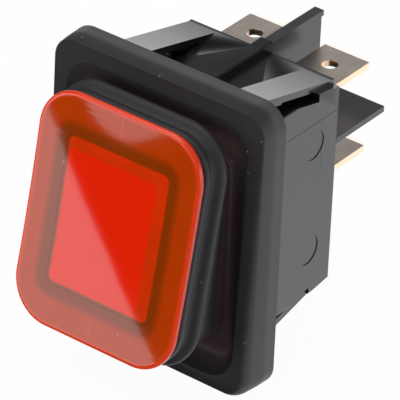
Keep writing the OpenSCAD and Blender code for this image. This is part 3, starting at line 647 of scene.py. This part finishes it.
class SWITCH_OT_lens(Operator):
    """Makes the red cap with its hollowed face and rounded rim"""
    bl_idname = "switch.lens"
    bl_label = "Red lens cap"

    def execute(self, context):
        s = sizes()
        q, corner = s.cap_front / MM, s.cap_corner / MM
        cx, cz = CAP_HALF_X / MM - corner, CAP_HALF_Z / MM - corner
        rows = [(corner - 0.9, q - 1.4), (corner - 0.54, q - 1.4), (corner - 0.42, q - 1.3),
                (corner - 0.23, q - 1.0), (corner - 0.04, q - 0.56)]
        rows += arc(corner - CAP_RIM, q - CAP_RIM, CAP_RIM, -8, 90, 9)
        rows += [(corner - 0.48, q), (corner - 0.6, q)]      # keep the face's normals true at its edge
        rows = [((cx + reach) * MM, (cz + reach) * MM, reach * MM, depth * MM) for reach, depth in rows]
        loft = RoundedLoft(*rows[0], s.corner_points + 6)
        for row in rows[1:]:
            loft.to(*row)
        bm = loft.bm
        for end in (loft.corners, loft.first):
            bmesh.ops.contextual_create(bm, geom=[v for part in end for v in part])
        half = CAP_HALF_Z - CAP_RIM * MM
        for k in range(-CAP_STRIPS, CAP_STRIPS + 1):
            bmesh.ops.bisect_plane(bm, geom=bm.verts[:] + bm.edges[:] + bm.faces[:],
                                   plane_co=(0, 0, half * k / CAP_STRIPS), plane_no=(0, 0, 1), dist=1e-7)
        for v in bm.verts:
            if -v.co.y > (q - CAP_SKIRT) * MM:
                v.co.y += s.cap_hollow * max(0.0, 1 - (v.co.z / half) ** 2)
        bmesh.ops.translate(bm, verts=bm.verts, vec=PIVOT)
        bmesh.ops.rotate(bm, verts=bm.verts, cent=PIVOT, matrix=Matrix.Rotation(REST_TILT, 3, "X"))
        cap = mesh_object("lens_face", bm, body="rocker", material=lens_material(),
                          smooth=50)
        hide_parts("lens_cap")
        return {"FINISHED"}


def softened(node, name, width, material, body, refine=None):
    """A copy of a hard CAD node with merged faces and a fine radius on its edges."""
    bm = bmesh.new()
    bm.from_mesh(frame["nodes"][node].data)
    bmesh.ops.remove_doubles(bm, verts=bm.verts, dist=2e-6)
    bmesh.ops.dissolve_limit(bm, angle_limit=math.radians(0.5), verts=bm.verts, edges=bm.edges)
    if refine:
        refine(bm)
    piece = mesh_object(name, bm, body=body, material=material, smooth=EDGE_ANGLE)
    bevel = piece.modifiers.new("edge radius", "BEVEL")
    bevel.width = width
    bevel.segments = 2
    bevel.limit_method = "ANGLE"
    bevel.angle_limit = math.radians(EDGE_ANGLE)
    bevel.harden_normals = True
    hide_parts(node)
    return piece


def shallow_marks(bm):
    """Brings the floors of the round gate marks in the side walls out to just below the surface."""
    for face in bm.faces:
        x = face.calc_center_median().x
        deep = SIDE_WALL - 0.3 * MM < abs(x) < SIDE_WALL - 0.2 * MM
        if abs(face.normal.x) > 0.99 and deep:
            bmesh.ops.translate(bm, verts=face.verts[:], vec=(math.copysign(MARK_LIFT, x), 0, 0))


class SWITCH_OT_mouldings(Operator):
    """Gives the body, its cover and the barriers their moulded edges and nylon finish"""
    bl_idname = "switch.mouldings"
    bl_label = "Hard mouldings"

    def execute(self, context):
        finishes = {"housing": nylon_material("satin_nylon", 0.24),
                    "top_cover": nylon_material("cover_nylon", 0.2, 0.9),
                    "rear_barrier": nylon_material("barrier_nylon", 0.3, 1.1)}
        for node, name in HARD_SHELLS.items():
            softened(node, name, sizes().edge_width, finishes[node], "body",
                     shallow_marks if node == "housing" else None)
        return {"FINISHED"}


class SWITCH_OT_blades(Operator):
    """Gives the terminals tin-plated faces and bare cut edges"""
    bl_idname = "switch.blades"
    bl_label = "Blade terminals"

    def execute(self, context):
        finish = blade_material()
        for node in BLADES:
            name = node.replace("terminal", "blade")
            softened(node, name, sizes().blade_edge, finish, "body")
        return {"FINISHED"}


class SWITCH_OT_inside(Operator):
    """Finishes the pieces inside the body"""
    bl_idname = "switch.inside"
    bl_label = "Inner pieces"

    def execute(self, context):
        looks = {
            "carrier_nylon": (("rocker_carrier",), (0.02, 0.02, 0.022), 0.4, 0.0),
            "red_diffuser": (("light_diffuser",), (0.8, 0.03, 0.01), 0.35, 0.0),
            "contact_silver": (("fixed_contact_left", "fixed_contact_right", "moving_contact_left",
                                "moving_contact_right"), (0.86, 0.85, 0.82), 0.25, 1.0),
            "spring_wire": (("plunger_spring_left", "plunger_spring_right"), (0.6, 0.6, 0.62), 0.3, 1.0),
            "turned_brass": (("plunger_left", "plunger_right"), (0.8, 0.6, 0.28), 0.25, 1.0),
            "copper_strip": (("seesaw_left", "seesaw_right"), (0.85, 0.45, 0.28), 0.3, 1.0),
            "frosted_glass": (("neon_lamp",), (0.8, 0.76, 0.7), 0.15, 0.0),
            "ceramic_body": (("lamp_resistor",), (0.6, 0.48, 0.3), 0.5, 0.0),
            "tinned_wire": (("lamp_leads",), (0.7, 0.7, 0.7), 0.3, 1.0),
        }
        for name, (nodes, colour, roughness, metallic) in looks.items():
            mat = finished(name, colour, roughness, metallic=metallic)[0]
            for node in nodes:
                mesh = frame["nodes"][node].data
                mesh.materials.clear()
                mesh.materials.append(mat)
        return {"FINISHED"}


# ---------------------------------------------------------------- stage
BACKDROP_LOW = 2.1              # level of the reflected backdrop behind the object, low down
BACKDROP_HIGH = 0.1             # and high up
FRONT_LEVEL = 0.012             # level of what is reflected in front of the object
FILL_LEVEL = 0.5                # even light on rough surfaces
FLOOR_SHARE = 0.68              # share of the backdrop's level that the floor reflects
WHITE_SHARE = 0.965             # how much of the floor's look is plain white, the rest takes the shadow
CAP_MIDDLE = (0.00105, -0.0119, 0.0029)
MIRRORED = (-0.502, -0.836, -0.22)      # where the camera's view of the cap is reflected to
VIEW = {"azimuth": 36.466, "elevation": 32.403, "roll": 2.359, "distance": 0.460859,
        "aim": (0.0, 0.008, 0.0), "offset": (-0.001945, -0.002722), "lens": 366.227}


def view_axes():
    az, el, roll = (math.radians(VIEW[k]) for k in ("azimuth", "elevation", "roll"))
    back = Vector((math.sin(az) * math.cos(el), -math.cos(az) * math.cos(el), math.sin(el)))
    right = Vector((math.cos(az), math.sin(az), 0.0))
    up = back.cross(right)
    return (right * math.cos(roll) + up * math.sin(roll), up * math.cos(roll) - right * math.sin(roll), back)


def soft_light(name, aim, direction, distance, size, level, shape="RECTANGLE", offset=(0.0, 0.0), turn=0.0):
    """An area light that faces aim. level is its brightness, and offset and turn are in its own plane."""
    light = bpy.data.lights.new(name, "AREA")
    light.shape = shape
    light.size, light.size_y = size
    area = size[0] * size[1] * (math.pi / 4 if shape == "ELLIPSE" else 1.0)
    light.energy = level * area * math.pi
    obj = bpy.data.objects.new(name, light)
    back = Vector(direction).normalized()
    right = Vector((0, 0, 1)).cross(back).normalized()
    up = back.cross(right)
    spin = Matrix.Rotation(math.radians(turn), 3, "Z")
    axes = Matrix((right, up, back)).transposed() @ spin
    spot = Vector(aim) + back * distance + axes @ Vector((offset[0], offset[1], 0.0))
    obj.matrix_world = Matrix.Translation(spot) @ axes.to_4x4()
    bpy.context.scene.collection.objects.link(obj)
    return obj


def background(tree, colour, level):
    return add(tree, "ShaderNodeBackground", i0=(*colour, 1), i1=level).outputs[0]


def stage_world():
    """White for the camera. Reflections see it bright low down behind the object, and dark in front."""
    world = bpy.data.worlds.new("Studio")
    bpy.context.scene.world = world
    world.use_nodes = True
    tree = world.node_tree
    tree.nodes.clear()
    out = add(tree, "ShaderNodeOutputWorld")
    x, y, z = axes_of(tree, add(tree, "ShaderNodeTexCoord").outputs["Generated"])
    height = ramp(tree, z, 0.24, 0.5, BACKDROP_LOW, BACKDROP_HIGH, "SMOOTHSTEP")
    height = math_node(tree, "MULTIPLY", height, ramp(tree, z, -0.15, 0.1, FLOOR_SHARE, 1.0, "SMOOTHSTEP"))
    behind = math_node(tree, "MULTIPLY_ADD", x, 0.9, c=y)
    rear = ramp(tree, behind, -0.35, 0.25, curve="SMOOTHSTEP")
    level = math_node(tree, "ADD", math_node(tree, "MULTIPLY", height, rear), FRONT_LEVEL)
    room = background(tree, (0.97, 0.97, 1.0), level)
    fill = background(tree, (1, 1, 1), FILL_LEVEL)
    white = background(tree, (1, 1, 1), 1.0)
    path = add(tree, "ShaderNodeLightPath").outputs
    lit = add(tree, "ShaderNodeMixShader", i0=path["Is Diffuse Ray"], i1=room, i2=fill)
    mixed = add(tree, "ShaderNodeMixShader", i0=path["Is Camera Ray"], i1=lit.outputs[0], i2=white)
    tree.links.new(mixed.outputs[0], out.inputs[0])


def stage_floor():
    bm = bmesh.new()
    bmesh.ops.create_grid(bm, x_segments=1, y_segments=1, size=3.0)
    bmesh.ops.translate(bm, verts=bm.verts, vec=(0, 0, CAD_BOX[0].z - 0.0002))
    mat, tree, bsdf = shader("pale_floor")
    look = place(tree, shared("finish"), Vector=object_coords(tree), Colour=(0.9, 0.9, 0.9), Drift=0.02,
                 Patch_Size=20.0, Roughness=0.6, Roughness_Drift=0.05, Grain_Size=900.0)
    tree.links.new(look.outputs["Colour"], bsdf.inputs["Base Color"])
    tree.links.new(look.outputs["Roughness"], bsdf.inputs["Roughness"])
    bsdf.inputs["Specular IOR Level"].default_value = 0.1
    glow = add(tree, "ShaderNodeEmission", i0=(1, 1, 1, 1), i1=1.0)
    seen = add(tree, "ShaderNodeLightPath").outputs["Is Camera Ray"]
    share = math_node(tree, "MULTIPLY", seen, WHITE_SHARE)
    mixed = add(tree, "ShaderNodeMixShader", i0=share, i1=bsdf.outputs[0], i2=glow.outputs[0])
    tree.links.new(mixed.outputs[0], tree.nodes["Material Output"].inputs[0])
    floor = mesh_object("studio_floor", bm, material=mat, smooth=None)
    floor.visible_glossy = False


class SWITCH_OT_stage(Operator):
    """Sets the camera, the floor, the backdrop and the soft lights"""
    bl_idname = "switch.stage"
    bl_label = "Stage"

    def execute(self, context):
        right, up, back = view_axes()
        camera = bpy.data.cameras.new("view")
        camera.lens, camera.sensor_width = VIEW["lens"], 36.0
        camera.clip_start, camera.clip_end = 0.01, 20.0
        obj = bpy.data.objects.new("view", camera)
        across, upward = VIEW["offset"]
        spot = Vector(VIEW["aim"]) + back * VIEW["distance"] + right * across + up * upward
        obj.matrix_world = Matrix.Translation(spot) @ Matrix((right, up, back)).transposed().to_4x4()
        context.scene.collection.objects.link(obj)
        context.scene.camera = obj
        stage_world()
        stage_floor()
        soft_light("key softbox", VIEW["aim"], (-0.3, -0.45, 1.0), 0.6, (0.4, 0.4), 3.2)
        # The softbox's lower edge crosses the cap's reflection aslant, and a round reflector sits below it.
        soft_light("left softbox", CAP_MIDDLE, MIRRORED, 0.5, (0.34, 0.26), 2.3, offset=(0.0, 0.13),
                   turn=24.6)
        soft_light("round reflector", CAP_MIDDLE, MIRRORED, 0.5, (0.030, 0.026), 1.9, "ELLIPSE",
                   offset=(-0.022, -0.0325))
        context.scene.view_settings.view_transform = "Standard"
        return {"FINISHED"}


class SWITCH_PT_panel(Panel):
    """Lists the steps that dress the switch"""
    bl_idname = "SWITCH_PT_panel"
    bl_label = "Rocker switch"
    bl_space_type = "VIEW_3D"
    bl_region_type = "UI"
    bl_category = "Switch"

    def draw(self, context):
        for settings in (context.scene.switch_sizes, context.scene.switch_colours):
            for key in settings.__annotations__:
                self.layout.prop(settings, key)
        for operator in OPERATORS:
            self.layout.operator(operator.bl_idname)


OPERATORS = (SWITCH_OT_stage, SWITCH_OT_boot, SWITCH_OT_lens, SWITCH_OT_mouldings, SWITCH_OT_blades,
             SWITCH_OT_inside)
CLASSES = (SwitchSizes, SwitchColours) + OPERATORS + (SWITCH_PT_panel,)


def register():
    for cls in CLASSES:
        bpy.utils.register_class(cls)
    bpy.types.Scene.switch_sizes = PointerProperty(type=SwitchSizes)
    bpy.types.Scene.switch_colours = PointerProperty(type=SwitchColours)


def unregister():
    del bpy.types.Scene.switch_colours
    del bpy.types.Scene.switch_sizes
    for cls in reversed(CLASSES):
        bpy.utils.unregister_class(cls)


def main():
    register()
    for operator in OPERATORS:
        area, name = operator.bl_idname.split(".")
        getattr(getattr(bpy.ops, area), name)()


if __name__ == "__main__":
    main()
